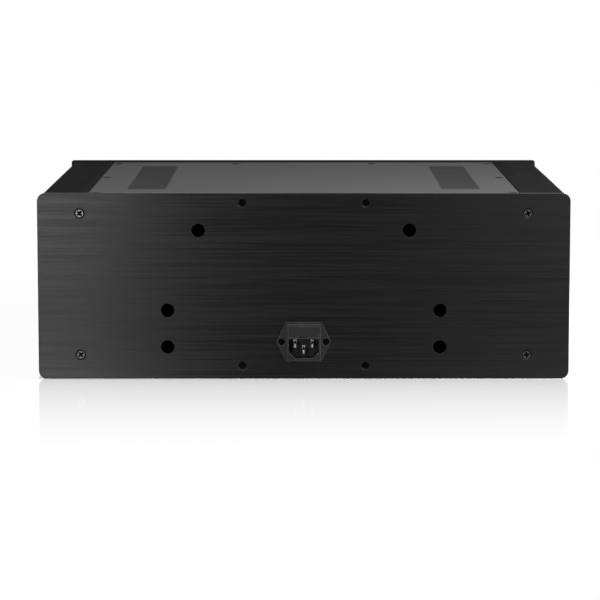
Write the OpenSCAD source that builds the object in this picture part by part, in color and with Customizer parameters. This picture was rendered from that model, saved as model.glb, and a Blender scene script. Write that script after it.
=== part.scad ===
// Amplifier chassis in black aluminium: thick front panel, thin rear panel, a finned heatsink on each
// side, perforated covers, and a fused mains inlet in the rear panel.
// Units are millimetres. +Z is up, the front panel faces -Y and the origin is midway under the chassis.
// Left and right are as seen from the front.

/* [Chassis] */
// Width of the front and rear panels
panel_w = 430; // [380:1:480]
// Height of the front and rear panels
panel_h = 151; // [130:1:200]
// Depth over the outer faces of the two panels
body_d = 350; // [300:1:420]
// Thickness of the front panel
front_t = 10; // [8:0.5:14]
// Thickness of the rear panel
rear_t = 3; // [2.5:0.5:5]
// Corner radius of the rear panel
rear_corner_r = 6.5; // [2:0.5:10]
// Corner radius of the front panel
front_corner_r = 1.5; // [1.3:0.1:6]
// Bevel round the front panel's outer face
front_bevel = 1; // [0.5:0.1:1.2]
// Bevel round the rear panel's outer face
rear_bevel = 0.4; // [0.2:0.1:0.8]

/* [Heatsinks] */
// Width of a heatsink over its base and fins
sink_w = 35.5; // [30:0.5:50]
// How far the fin tips stand inside the panel's side edge
sink_side_setback = 3.7; // [0:0.1:8]
// How far a heatsink stops short of the panel's top and bottom edges
sink_end_setback = 1.2; // [0.5:0.1:4]
// Thickness of a heatsink's base
sink_base_t = 10; // [8.5:0.5:14]
// Distance from one fin to the next
fin_pitch = 9.6; // [7:0.1:16]
// Thickness of a fin at its root
fin_root_t = 3; // [2.2:0.1:4]
// Thickness of a fin at its tip
fin_tip_t = 1.8; // [1.2:0.1:2.2]
// Fillet between a fin and the base
fin_fillet_r = 1.2; // [0.5:0.1:1.6]

/* [Covers] */
// Thickness of the top and bottom covers
cover_t = 2; // [2:0.1:3]
// How far the top cover lies below the panel's top edge
top_recess = 1.4; // [0.5:0.1:4]
// How far the bottom cover lies above the panel's bottom edge
bottom_recess = 4.4; // [1:0.1:7]
// Gap between a cover and a heatsink
cover_side_gap = 0.9; // [0.2:0.1:1.5]
// Gap between a cover and a front or rear panel
cover_end_gap = 0.3; // [0.1:0.1:1]
// Length of a vent slot
vent_slot_l = 32.5; // [20:0.5:40]
// Width of a vent slot
vent_slot_w = 3; // [2:0.1:4]
// Distance from one vent slot to the next
vent_pitch = 6; // [5:0.1:9]
// Distance from the middle of the chassis to the nearer ends of the slots
vent_inner_x = 113.5; // [80:0.5:118]
// Distance from the rear panel's outer face to the first vent slot
vent_rear_setback = 55; // [40:1:90]
// Length of a group of vent slots
vent_run = 238; // [120:1:240]

/* [Joining pieces] */
// Width of the bars along the heatsinks
bar_w = 12; // [8:0.5:14]
// Height of the bars along the heatsinks
bar_h = 8.8; // [7:0.1:12]
// Length of the blocks behind the rear panel
block_l = 16; // [10:0.5:30]
// Depth of the blocks behind the rear panel
block_d = 10; // [9:0.5:14]
// Thickness of the angle brackets
bracket_t = 3; // [2.5:0.1:4]
// Length of the front brackets' leg under the cover
front_leg_l = 25; // [23:0.5:40]
// Length of the front brackets' leg on the front panel
front_leg_h = 18; // [14:0.5:25]
// Width of the front brackets
front_bracket_w = 24; // [12:0.5:40]
// Length of both legs of the corner brackets
corner_leg = 20; // [16:0.5:30]
// Height of the corner brackets
corner_bracket_h = 24; // [12:0.5:30]
// Height of the corner brackets' middle above or below the panel's edge
corner_bracket_z = 40; // [36:1:50]

/* [Screws] */
// Diameter of the large screws
big_d = 4; // [3:0.5:4]
// Head diameter of the large screws
big_head_d = 7.7; // [6.5:0.1:7.9]
// Diameter of the small screws
small_d = 3; // [2:0.5:3]
// Head diameter of the small screws
small_head_d = 5.8; // [5:0.1:6.2]
// Height of the small screws' heads
small_head_h = 1.6; // [1.2:0.1:2.2]
// Clearance round a screw, in a plain hole and in a tapped one
screw_gap = 0.06; // [0.05:0.01:0.2]
// Head diameter of the rear panel's corner screws
corner_head_d = 6.9; // [6.5:0.1:7.5]
// How deep the heads in the rear panel lie below its face
head_sink = 0.8; // [0.3:0.1:1]
// Distance from the panel's middle to the corner screws' row near its top
corner_screw_high = 59.1; // [50:0.1:60]
// Distance from the panel's middle to the corner screws' row near its bottom
corner_screw_low = 56; // [50:0.1:60]
// Distance from the middle to a screw in the rear blocks
block_x = 50; // [35:0.5:75]
// Distance from the middle to a screw in the front brackets
front_bracket_x = 62.5; // [40:0.5:100]
// Distance from the front panel's rear face to the covers' front screws
front_screw_setback = 18; // [17:0.5:20]
// Distance from the rear panel's inner face to the covers' rear side screws
rear_screw_setback = 17; // [16:0.5:30]

/* [Rear panel holes] */
// Diameter of the six connector holes
hole_d = 11; // [8:0.1:12]
// Distance from the middle to an input hole
input_x = 85.25; // [60:0.25:100]
// Height of the input holes above the panel's bottom edge
input_z = 120.9; // [100:0.1:125]
// Distance from the middle to an output hole
output_x = 110.25; // [90:0.25:130]
// Height of the upper output holes above the panel's bottom edge
output_high_z = 55.9; // [45:0.1:75]
// Height of the lower output holes above the panel's bottom edge
output_low_z = 26; // [22:0.1:32]

/* [Mains inlet] */
// Height of the inlet's middle above the panel's bottom edge
inlet_z = 30.5; // [28:0.1:60]
// Width of the flange over its rounded ends
flange_w = 43.7; // [43:0.1:50]
// Height of the flange
flange_h = 32.3; // [32:0.1:36]
// Length of the flange's straight top and bottom edges
flange_flat = 28.8; // [28:0.1:32]
// Thickness of the flange
flange_t = 2.4; // [2:0.1:3]
// Distance between the flange's two screws
flange_pitch = 36; // [35.5:0.1:38]
// Width of the moulded body and of the raised frame in front of it
inlet_body_w = 27.4; // [27.2:0.1:27.8]
// Height of the moulded body
inlet_body_h = 30.8; // [30.6:0.1:31.4]
// How far the raised frame stands out from the flange
frame_proud = 1.4; // [0.8:0.1:2.4]
// Width of the socket
socket_w = 24.8; // [24:0.1:25]
// Height of the socket
socket_h = 16.2; // [16:0.1:16.4]
// Depth of the socket
socket_d = 16; // [15:0.5:17]
// Chamfer at the socket's two lower corners
socket_chamfer = 5.5; // [3:0.1:6]
// Radius of the socket's two upper corners
socket_corner_r = 1.2; // [0.5:0.1:2]
// Distance between the line and neutral pins
pin_pitch = 14; // [13:0.1:15]
// Height of the line and neutral pins above the socket's bottom
pin_high = 10.3; // [10:0.1:11]
// Height of the earth pin above the socket's bottom
pin_low = 5.5; // [5:0.1:6.5]
// Thickness of a pin
pin_w = 2; // [1.5:0.1:2.4]
// Height of a pin's blade
pin_h = 4; // [3.5:0.1:4.4]
// Distance from the inlet's front to the tips of the line and neutral pins
pin_setback = 2.2; // [1:0.1:4]

/* [Fuse drawer] */
// Width of the fuse drawer
drawer_w = 24.4; // [23.5:0.1:24.6]
// Height of the fuse drawer
drawer_h = 9; // [8.6:0.1:9.2]
// Length of the fuse drawer
drawer_l = 22; // [20:0.5:24]
// Gap round the fuse drawer
drawer_gap = 0.25; // [0.2:0.05:0.3]
// Length of a fuse
fuse_l = 20; // [19:0.1:20.5]
// Diameter of a fuse's end caps
fuse_d = 5.2; // [4.8:0.1:5.4]

/* [Power button] */
// Height of the power button's middle above the panel's bottom edge
button_z = 75.5; // [60:0.5:90]
// Diameter of the hole for the button in the front panel
button_hole_d = 19; // [16:0.5:22]
// Thickness of the bezel in front of the panel
bezel_t = 1.6; // [1:0.1:2.5]
// Width of the bezel's ring outside the hole
bezel_ring = 1.6; // [1:0.1:3]
// How far the button stands out from its bezel
button_proud = 1.4; // [1:0.1:2.4]
// Travel of the button
button_travel = 2.2; // [1.5:0.1:2.5]
// Gap between the button and its bezel
button_gap = 0.15; // [0.1:0.05:0.3]
// Length of the bezel's barrel behind the panel's outer face
barrel_l = 26; // [24:0.5:34]

/* [Hidden] */
$fn = 48;
cut = 1;
inlet_proud = flange_t + frame_proud;
button_out = bezel_t + button_proud;
overall_d = body_d + inlet_proud + button_out;
front_y = -overall_d / 2 + button_out;
front_in_y = front_y + front_t;
rear_y = front_y + body_d;
rear_in_y = rear_y - rear_t;
inner_d = rear_in_y - front_in_y;

sink_in_x = panel_w / 2 - sink_side_setback - sink_w;
sink_h = panel_h - 2 * sink_end_setback;
fin_l = sink_w - sink_base_t;
fin_count = floor((inner_d - fin_root_t - 2 * fin_fillet_r) / fin_pitch) + 1;
fin_first = (inner_d - (fin_count - 1) * fin_pitch) / 2;

cover_w = 2 * (sink_in_x - cover_side_gap);
cover_d = inner_d - 2 * cover_end_gap;
top_in_z = panel_h - top_recess - cover_t;
bottom_in_z = bottom_recess + cover_t;
vent_count = floor((vent_run - vent_slot_w) / vent_pitch) + 1;

bar_x = sink_in_x - bar_w / 2;
block_y = rear_in_y - block_d / 2;
side_rows = [front_in_y + front_screw_setback,
             (front_in_y + front_screw_setback + rear_in_y - rear_screw_setback) / 2,
             rear_in_y - rear_screw_setback];
bar_rows = [(side_rows[0] + side_rows[1]) / 2, (side_rows[1] + side_rows[2]) / 2];
sink_screw_x = sink_in_x + sink_base_t / 2;
corner_screw_zs = [panel_h / 2 + corner_screw_high, panel_h / 2 - corner_screw_low];
corner_bracket_zs = [corner_bracket_z, panel_h - corner_bracket_z];
corner_hole = bracket_t + (corner_leg - bracket_t) / 2;
bracket_screw_drop = bracket_t + (front_leg_h - bracket_t) / 2;

big_l = 12;
bar_screw_l = bar_w + sink_base_t / 2;
cover_screw_l = cover_t + bar_h - 2;
block_web = 0.5;
block_tap = bar_h / 2 - small_d / 2 - block_web;
front_screw_l = cover_t + bracket_t + 1;
block_screw_l = rear_t + block_d - 3;
bracket_screw_l = bracket_t + front_t / 2;
driver_w = 0.9;

body_half_h = inlet_body_h / 2;
frame_step = 1.3;
frame_top = body_half_h - frame_step;
socket_rim = 1.8;
socket_bottom = socket_rim - body_half_h;
socket_top = socket_bottom + socket_h;
socket_floor = inlet_proud - socket_d;
floor_t = 2.8;
web_t = 0.8;
bay_bottom = socket_top + web_t;
bay_h = drawer_h + 2 * drawer_gap;
bay_w = drawer_w + 2 * drawer_gap;
bay_back = inlet_proud - drawer_l - drawer_gap;
bay_wall = 2;
housing_back = bay_back - bay_wall;
line_z = socket_bottom + pin_high;
earth_z = socket_bottom + pin_low;
pin_back = socket_floor - floor_t;
shoulder_w = pin_w + 0.4;
shoulder_h = pin_h + 2.4;
shoulder_t = 0.5;
tab_l = 8;
tab_w = 6.3;
tab_t = 0.8;
drawer_face_t = 2.4;
drawer_wall = 1;
fuse_pitch = 7.6;
fuse_back = bay_back + drawer_gap + drawer_wall + fuse_d / 2 + 0.4;
fuse_rows = [fuse_back, fuse_back + fuse_pitch];
cap_l = 5;
glass_d = fuse_d - 0.6;
contact_t = 0.5;
contact_x = fuse_l / 2 - cap_l / 2;

barrel_r = button_hole_d / 2 - 0.1;
bezel_r = button_hole_d / 2 + bezel_ring;
barrel_wall = 2.4;
button_r = barrel_r - barrel_wall - button_gap;
collar_r = barrel_r - 1.2;
collar_from = 3;
collar_t = 2;
button_back = collar_from + collar_t + 0.1;
spring_wire = 0.8;
spring_closed = 6.7;
plug_from = button_back + button_travel + spring_closed;
plug_to = barrel_l + 8;
spring_r = button_r - 2.2;
spring_from = button_back + 0.1;
spring_l = plug_from - spring_from - 0.1;
spring_turns = 4;
nut_t = 3;
nut_af = button_hole_d + 5;

black = [0.09, 0.09, 0.09];
dark = [0.13, 0.13, 0.14];
moulded = [0.17, 0.17, 0.18];
bare = [0.72, 0.73, 0.74];
brass = [0.78, 0.62, 0.3];

// Helpers that several pieces share

// A cylinder along Y, from y0 to y1
module rod_y(r, y0, y1) {
    translate([0, y1, 0]) rotate([90, 0, 0]) cylinder(r = r, h = y1 - y0);
}

// A block given by its two corners
module block(from, to) {
    translate(from) cube(to - from);
}

// A copy on each side of the middle
module both_sides() {
    children();
    mirror([1, 0, 0]) children();
}

// A rounded rectangle in X and Z, centred on the origin, from y = 0 to y = t
module rounded_plate(w, h, t, r) {
    translate([0, t, 0]) rotate([90, 0, 0]) linear_extrude(t) union() {
        square([w - 2 * r, h], center = true);
        square([w, h - 2 * r], center = true);
        for (x = [-1, 1], z = [-1, 1]) translate([x * (w / 2 - r), z * (h / 2 - r)]) circle(r);
    }
}

// The same rectangle with its edge bevelled by b towards y = b, where it is full size at y = 0
module bevel_layer(w, h, r, b) {
    half_w = w / 2;
    half_h = h / 2;
    translate([-(half_w - r), 0, 0]) rotate([90, 0, 90]) linear_extrude(w - 2 * r)
        polygon([[0, -half_h], [b, b - half_h], [b, half_h - b], [0, half_h]]);
    translate([0, 0, -(half_h - r)]) linear_extrude(h - 2 * r)
        polygon([[-half_w, 0], [half_w, 0], [half_w - b, b], [b - half_w, b]]);
    for (x = [-1, 1], z = [-1, 1]) translate([x * (half_w - r), 0, z * (half_h - r)])
        rotate([-90, 0, 0]) cylinder(r1 = r, r2 = r - b, h = b);
}

// A countersunk screw: its head is flush with z = 0 and it points down. The recess is a cross.
module countersunk_screw(d, head_d, l, cross = true) {
    cone = (head_d - d) / 2;
    difference() {
        union() {
            cylinder(r1 = d / 2, r2 = head_d / 2, h = cone, $fn = 32);
            translate([0, 0, cone - l]) cylinder(d = d, h = l - cone / 2, $fn = 32);
        }
        if (cross) translate([0, 0, cone / 3]) cross_recess(head_d * 0.58, cone);
    }
}

// The cutter for a cross recess, from z = 0 up
module cross_recess(across, h) {
    for (a = [0, 90]) rotate([0, 0, a]) translate([-across / 2, -driver_w / 2, 0])
        cube([across, driver_w, h]);
}

// The hole for a countersunk screw: flush with z = 0, through to z = -l
module countersunk_hole(d, head_d, l) {
    cone = (head_d - d) / 2;
    translate([0, 0, -cone]) cylinder(r1 = d / 2 + screw_gap, r2 = head_d / 2 + screw_gap, h = cone);
    translate([0, 0, -l]) cylinder(r = d / 2 + screw_gap, h = l);
    cylinder(r = head_d / 2 + screw_gap, h = cut);
}

// The same screw with its head's face at z = 0
module flush_screw(d, head_d, l) {
    translate([0, 0, -(head_d - d) / 2]) countersunk_screw(d, head_d, l);
}

// A pan head screw: the head stands on z = 0 and the shank points down
module pan_screw(d, head_d, head_h, l) {
    rim = head_h / 2;
    difference() {
        union() {
            translate([0, 0, -l]) cylinder(d = d, h = l + rim / 2, $fn = 32);
            cylinder(d = head_d, h = rim, $fn = 32);
            translate([0, 0, rim]) cylinder(d1 = head_d, d2 = head_d * 0.62, h = head_h - rim, $fn = 32);
        }
        translate([0, 0, head_h / 2]) cross_recess(head_d * 0.55, head_h);
    }
}

// Puts a child that points down onto the rear face, at [x, z], pointing into the chassis
module on_rear(x, z) {
    translate([x, rear_y, z]) rotate([-90, 0, 0]) children();
}

// Panels

// Screw and connector holes of the rear panel, cut from its outer face
module rear_panel_holes() {
    for (z = corner_screw_zs) both_sides() on_rear(sink_screw_x, z)
        countersunk_hole(big_d, corner_head_d + 2 * head_sink, rear_t + cut);
    for (z = [bottom_in_z + bar_h / 2, top_in_z - bar_h / 2]) both_sides() on_rear(block_x, z)
        countersunk_hole(small_d, small_head_d + 2 * head_sink, rear_t + cut);
    both_sides() translate([input_x, 0, input_z]) rod_y(hole_d / 2, rear_in_y - cut, rear_y + cut);
    for (z = [output_low_z, output_high_z]) both_sides() translate([output_x, 0, z])
        rod_y(hole_d / 2, rear_in_y - cut, rear_y + cut);
}

module rear_panel() {
    color(black) difference() {
        translate([0, 0, panel_h / 2]) union() {
            translate([0, rear_in_y, 0])
                rounded_plate(panel_w, panel_h, rear_t - rear_bevel, rear_corner_r);
            translate([0, rear_y - rear_bevel, 0])
                bevel_layer(panel_w, panel_h, rear_corner_r, rear_bevel);
        }
        rear_panel_holes();
        // Cut-out that the inlet's moulded body passes through, with its two screw holes
        translate([0, 0, inlet_z]) {
            block([-inlet_body_w / 2 - drawer_gap, rear_in_y - cut, -body_half_h - drawer_gap],
                  [inlet_body_w / 2 + drawer_gap, rear_y + cut, body_half_h + drawer_gap]);
            both_sides() translate([flange_pitch / 2, 0, 0])
                rod_y(small_d / 2 + screw_gap, rear_in_y - cut, rear_y + cut);
        }
    }
}

// Blind holes in the front panel's rear face, tapped for the brackets' screws
module front_panel_taps() {
    depth = bracket_screw_l - bracket_t + 1;
    for (z = [bottom_in_z + bracket_screw_drop, top_in_z - bracket_screw_drop])
        both_sides() translate([front_bracket_x, 0, z])
            rod_y(big_d / 2 + screw_gap, front_in_y - depth, front_in_y + cut);
    for (z = corner_bracket_zs) both_sides() translate([sink_in_x - corner_hole, 0, z])
        rod_y(big_d / 2 + screw_gap, front_in_y - depth, front_in_y + cut);
}

module front_panel() {
    color(black) difference() {
        translate([0, 0, panel_h / 2]) union() {
            translate([0, front_y + front_bevel, 0])
                rounded_plate(panel_w, panel_h, front_t - front_bevel, front_corner_r);
            translate([0, front_y + front_bevel, 0]) mirror([0, 1, 0])
                bevel_layer(panel_w, panel_h, front_corner_r, front_bevel);
        }
        front_panel_taps();
        translate([0, 0, button_z]) rod_y(button_hole_d / 2, front_y - cut, front_in_y + cut);
    }
}

// Heatsinks

// Points of an arc about a centre, from one angle to another
function arc(centre, r, from, to, steps) =
    [for (i = [0 : steps]) let (a = from + (to - from) * i / steps)
        centre + r * [cos(a), sin(a)]];

// Outline of one fin about y, from the base and back to it: a fillet, a tapered side, a round tip, and
// the same in reverse
function fin_outline(y) =
    let (tip_r = fin_tip_t / 2, root = fin_root_t / 2 + fin_fillet_r, x = sink_base_t)
    concat(
        arc([x + fin_fillet_r, y - root], fin_fillet_r, 180, 90, 4),
        arc([x + fin_l - tip_r, y], tip_r, -90, 90, 8),
        arc([x + fin_fillet_r, y + root], fin_fillet_r, 270, 180, 4));

// Section of the right heatsink in X and Y: a thick base with tapered fins. x = 0 is the base's inner
// face and y = 0 its front end.
module sink_section() {
    polygon(concat(
        [[0, 0], [sink_base_t, 0]],
        [for (i = [0 : fin_count - 1]) each fin_outline(fin_first + i * fin_pitch)],
        [[sink_base_t, inner_d], [0, inner_d]]));
}

// Tapped holes of the right heatsink: rear corner screws in its end, bar and bracket screws in its face
module sink_taps() {
    depth = bar_screw_l - bar_w + 1;
    end_depth = head_sink + big_l + 1;
    for (z = corner_screw_zs) on_rear(sink_screw_x, z)
        translate([0, 0, -end_depth]) cylinder(r = big_d / 2 + screw_gap, h = end_depth);
    for (y = bar_rows, z = [bottom_in_z + bar_h / 2, top_in_z - bar_h / 2])
        translate([sink_in_x - cut, y, z]) rotate([0, 90, 0])
            cylinder(r = big_d / 2 + screw_gap, h = depth + cut);
    for (z = corner_bracket_zs) translate([sink_in_x - cut, front_in_y + corner_hole, z])
        rotate([0, 90, 0]) cylinder(r = big_d / 2 + screw_gap, h = bracket_screw_l - bracket_t + 1 + cut);
}

module right_heatsink() {
    color(dark) difference() {
        translate([sink_in_x, front_in_y, sink_end_setback]) linear_extrude(sink_h) sink_section();
        sink_taps();
    }
}

module left_heatsink() {
    mirror([1, 0, 0]) right_heatsink();
}

// Covers

// Vent slots in both groups, with round ends, cut through z = 0 to cover_t
module vent_slots() {
    end = vent_slot_w / 2;
    for (i = [0 : vent_count - 1]) both_sides()
        translate([vent_inner_x, rear_y - vent_rear_setback - end - i * vent_pitch, -cut]) {
            translate([end, -end, 0]) cube([vent_slot_l - vent_slot_w, vent_slot_w, cover_t + 2 * cut]);
            for (x = [end, vent_slot_l - end]) translate([x, 0, 0])
                cylinder(r = end, h = cover_t + 2 * cut, $fn = 16);
        }
}

// Places its child at each screw of a cover, in X and Y
module at_cover_screws() {
    for (y = side_rows) both_sides() translate([bar_x, y, 0]) children();
    both_sides() translate([front_bracket_x, side_rows[0], 0]) children();
    both_sides() translate([block_x, block_y, 0]) children();
}

// A flat cover from z = 0 to cover_t, countersunk from above
module cover() {
    difference() {
        translate([-cover_w / 2, front_in_y + cover_end_gap, 0]) cube([cover_w, cover_d, cover_t]);
        vent_slots();
        at_cover_screws() translate([0, 0, cover_t])
            countersunk_hole(big_d, big_head_d, cover_t + cut);
    }
}

module top_cover() {
    color(dark) translate([0, 0, top_in_z]) cover();
}

module bottom_cover() {
    color(dark) translate([0, 0, bottom_in_z]) mirror([0, 0, 1]) cover();
}

// One cover's screws, with their heads' faces at z = 0
module cover_screws() {
    color(black) {
        for (y = side_rows) both_sides() translate([bar_x, y, 0])
            flush_screw(big_d, big_head_d, cover_screw_l);
        both_sides() translate([front_bracket_x, side_rows[0], 0])
            flush_screw(big_d, big_head_d, front_screw_l);
        both_sides() translate([block_x, block_y, 0])
            flush_screw(big_d, big_head_d, cover_t + block_tap);
    }
}

module top_cover_screws() {
    translate([0, 0, top_in_z + cover_t]) cover_screws();
}

module bottom_cover_screws() {
    translate([0, 0, bottom_in_z - cover_t]) mirror([0, 0, 1]) cover_screws();
}

// Joining pieces

// The right bar under the top cover: its top face is at z = 0
module top_bar() {
    color(bare) difference() {
        translate([sink_in_x - bar_w, front_in_y, -bar_h]) cube([bar_w, inner_d, bar_h]);
        for (y = side_rows) translate([bar_x, y, -bar_h - cut])
            cylinder(r = big_d / 2 + screw_gap, h = bar_h + 2 * cut);
        for (y = bar_rows) translate([sink_in_x - bar_w - cut, y, -bar_h / 2]) rotate([0, 90, 0])
            cylinder(r = big_d / 2 + screw_gap, h = bar_w + 2 * cut);
    }
}

module right_top_bar() {
    translate([0, 0, top_in_z]) top_bar();
}

module left_top_bar() {
    mirror([1, 0, 0]) right_top_bar();
}

module right_bottom_bar() {
    translate([0, 0, bottom_in_z]) mirror([0, 0, 1]) top_bar();
}

module left_bottom_bar() {
    mirror([1, 0, 0]) right_bottom_bar();
}

// Pan head screws through the bars into the heatsinks
module bar_screws() {
    color(bare) for (y = bar_rows, z = [bottom_in_z + bar_h / 2, top_in_z - bar_h / 2])
        both_sides() translate([sink_in_x - bar_w, y, z]) rotate([0, -90, 0])
            pan_screw(big_d, big_head_d, small_head_h, bar_screw_l);
}

// The pair of blocks behind the rear panel, under a cover: their top faces are at z = 0
module block_pair() {
    color(bare) both_sides() difference() {
        translate([block_x - block_l / 2, rear_in_y - block_d, -bar_h]) cube([block_l, block_d, bar_h]);
        translate([block_x, block_y, -block_tap]) cylinder(r = big_d / 2 + screw_gap, h = bar_h);
        translate([block_x, 0, -bar_h / 2])
            rod_y(small_d / 2 + screw_gap, rear_in_y - block_d - cut, rear_in_y + cut);
    }
}

module rear_top_blocks() {
    translate([0, 0, top_in_z]) block_pair();
}

module rear_bottom_blocks() {
    translate([0, 0, bottom_in_z]) mirror([0, 0, 1]) block_pair();
}

// The pair of angle brackets behind the front panel, under a cover: their top faces are at z = 0
module front_bracket_pair() {
    color(bare) both_sides() difference() {
        translate([front_bracket_x - front_bracket_w / 2, front_in_y, 0]) union() {
            translate([0, 0, -bracket_t]) cube([front_bracket_w, front_leg_l, bracket_t]);
            translate([0, 0, -front_leg_h]) cube([front_bracket_w, bracket_t, front_leg_h]);
        }
        translate([front_bracket_x, side_rows[0], -bracket_t - cut])
            cylinder(r = big_d / 2 + screw_gap, h = bracket_t + 2 * cut);
        translate([front_bracket_x, 0, -bracket_screw_drop])
            rod_y(big_d / 2 + screw_gap, front_in_y - cut, front_in_y + bracket_t + cut);
    }
}

module front_top_brackets() {
    translate([0, 0, top_in_z]) front_bracket_pair();
}

module front_bottom_brackets() {
    translate([0, 0, bottom_in_z]) mirror([0, 0, 1]) front_bracket_pair();
}

module front_bracket_screws() {
    color(bare) for (z = [bottom_in_z + bracket_screw_drop, top_in_z - bracket_screw_drop])
        both_sides() translate([front_bracket_x, front_in_y + bracket_t, z]) rotate([-90, 0, 0])
            pan_screw(big_d, big_head_d, small_head_h, bracket_screw_l);
}

// Angle brackets in the front corners, between the heatsinks and the front panel
module corner_brackets() {
    color(bare) for (z = corner_bracket_zs) both_sides() difference() {
        translate([0, front_in_y, z - corner_bracket_h / 2]) union() {
            translate([sink_in_x - bracket_t, 0, 0]) cube([bracket_t, corner_leg, corner_bracket_h]);
            translate([sink_in_x - corner_leg, 0, 0]) cube([corner_leg, bracket_t, corner_bracket_h]);
        }
        translate([sink_in_x - corner_hole, 0, z])
            rod_y(big_d / 2 + screw_gap, front_in_y - cut, front_in_y + bracket_t + cut);
        translate([sink_in_x - bracket_t - cut, front_in_y + corner_hole, z]) rotate([0, 90, 0])
            cylinder(r = big_d / 2 + screw_gap, h = bracket_t + 2 * cut);
    }
}

module corner_bracket_screws() {
    color(bare) for (z = corner_bracket_zs) both_sides() {
        translate([sink_in_x - corner_hole, front_in_y + bracket_t, z]) rotate([-90, 0, 0])
            pan_screw(big_d, big_head_d - 1, small_head_h, bracket_screw_l);
        translate([sink_in_x - bracket_t, front_in_y + corner_hole, z]) rotate([0, -90, 0])
            pan_screw(big_d, big_head_d - 1, small_head_h, bracket_screw_l);
    }
}

// Screws in the rear panel, their heads below its face
module rear_corner_screws() {
    color(bare) for (z = corner_screw_zs) both_sides() on_rear(sink_screw_x, z)
        translate([0, 0, -head_sink]) rotate([0, 0, z < panel_h / 2 ? 35 : 45])
            flush_screw(big_d, corner_head_d, big_l);
}

module rear_block_screws() {
    color(black) for (z = [bottom_in_z + bar_h / 2, top_in_z - bar_h / 2])
        both_sides() on_rear(block_x, z) translate([0, 0, -head_sink])
            flush_screw(small_d, small_head_d, block_screw_l);
}

// Mains inlet. Its modules are drawn with y = 0 on the rear panel's outer face and z = 0 at its middle.
module at_inlet() {
    translate([0, rear_y, inlet_z]) children();
}

// Flange outline: straight top and bottom, sloping sides and a round nose at each screw
module flange_outline() {
    nose_r = 3.4;
    for (side = [-1, 1]) hull() {
        square([flange_flat, flange_h], center = true);
        translate([side * (flange_w / 2 - nose_r), 0]) circle(nose_r, $fn = 32);
    }
}

// Socket opening: two chamfered lower corners and two round upper ones
module socket_outline() {
    half = socket_w / 2;
    r = socket_corner_r;
    polygon(concat(
        [[-half, socket_bottom + socket_chamfer], [socket_chamfer - half, socket_bottom],
         [half - socket_chamfer, socket_bottom], [half, socket_bottom + socket_chamfer]],
        arc([half - r, socket_top - r], r, 0, 90, 3),
        arc([r - half, socket_top - r], r, 90, 180, 3)));
}

// The slot in the housing's floor or wall that a pin passes through
module pin_slot(x, z, w, h) {
    translate([x - w / 2 - screw_gap, -socket_d - floor_t - cut, z - h / 2 - screw_gap])
        cube([w + 2 * screw_gap, floor_t + 2 * cut + inlet_proud, h + 2 * screw_gap]);
}

module inlet_housing() {
    half = inlet_body_w / 2;
    color(moulded) at_inlet() difference() {
        union() {
            translate([0, flange_t, 0]) rotate([90, 0, 0]) linear_extrude(flange_t) flange_outline();
            block([-half, 0, -body_half_h], [half, inlet_proud, frame_top]);
            block([-half, pin_back, -body_half_h], [half, flange_t, body_half_h]);
            block([-half, housing_back, bay_bottom - web_t], [half, flange_t, body_half_h]);
        }
        translate([0, inlet_proud + cut, 0]) rotate([90, 0, 0])
            linear_extrude(socket_d + cut) socket_outline();
        block([-bay_w / 2, bay_back, bay_bottom], [bay_w / 2, inlet_proud + cut, bay_bottom + bay_h]);
        for (x = [-1, 1]) pin_slot(x * pin_pitch / 2, line_z, pin_w, pin_h);
        pin_slot(0, earth_z, pin_w, pin_h);
        both_sides() translate([contact_x - 2, housing_back - cut, bay_bottom + bay_h / 2 - 2])
            cube([4, bay_wall + 2 * cut, contact_t + 2 * screw_gap]);
        both_sides() translate([flange_pitch / 2, flange_t, 0]) rotate([-90, 0, 0])
            countersunk_hole(small_d, small_head_d, flange_t + cut);
    }
}

// One face of a pin's blade, w wide, from the back of the socket's floor to the bevelled tip
module blade_face(w, tip) {
    half = w / 2;
    bevel = pin_w / 4;
    polygon([[-half, pin_back], [half, pin_back], [half, tip - bevel], [half - bevel, tip],
             [bevel - half, tip], [-half, tip - bevel]]);
}

// A mains pin: a blade in the socket, a shoulder on the socket's floor and a tab with an eye behind the
// housing
module pin(x, z, setback) {
    tip = inlet_proud - setback;
    back = pin_back - tab_l;
    color(bare) at_inlet() translate([x, 0, z]) {
        intersection() {
            linear_extrude(pin_h, center = true) blade_face(pin_w, tip);
            rotate([0, 90, 0]) linear_extrude(pin_w, center = true) blade_face(pin_h, tip);
        }
        block([-shoulder_w / 2, socket_floor, -shoulder_h / 2],
              [shoulder_w / 2, socket_floor + shoulder_t, shoulder_h / 2]);
        difference() {
            block([-tab_t / 2, back, -tab_w / 2], [tab_t / 2, pin_back, tab_w / 2]);
            translate([-cut, back + 2.4, 0]) rotate([0, 90, 0]) cylinder(r = 0.8, h = 2 * cut);
        }
    }
}

module line_pin() {
    pin(-pin_pitch / 2, line_z, pin_setback);
}

module neutral_pin() {
    pin(pin_pitch / 2, line_z, pin_setback);
}

module earth_pin() {
    pin(0, earth_z, pin_setback - 1);
}

// Two spring contacts behind the working fuse's caps, with tabs through the housing's back wall
module fuse_contacts() {
    z = bay_bottom + bay_h / 2 - 2 + screw_gap;
    color(brass) at_inlet() both_sides() {
        block([contact_x - 2 + screw_gap, housing_back - tab_l, z],
              [contact_x + 2 - screw_gap, bay_back, z + contact_t]);
    }
}

module inlet_screws() {
    color(black) at_inlet() both_sides() translate([flange_pitch / 2, flange_t, 0])
        rotate([-90, 0, 0]) flush_screw(small_d, small_head_d, flange_t + rear_t + 4);
}

module inlet_nuts() {
    color(bare) at_inlet() both_sides() translate([flange_pitch / 2, -rear_t, 0]) rotate([90, 0, 0])
        difference() {
            cylinder(d = 6.35, h = 2.4, $fn = 6);
            translate([0, 0, -cut]) cylinder(r = small_d / 2 + screw_gap, h = 2.4 + 2 * cut);
        }
}

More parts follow.
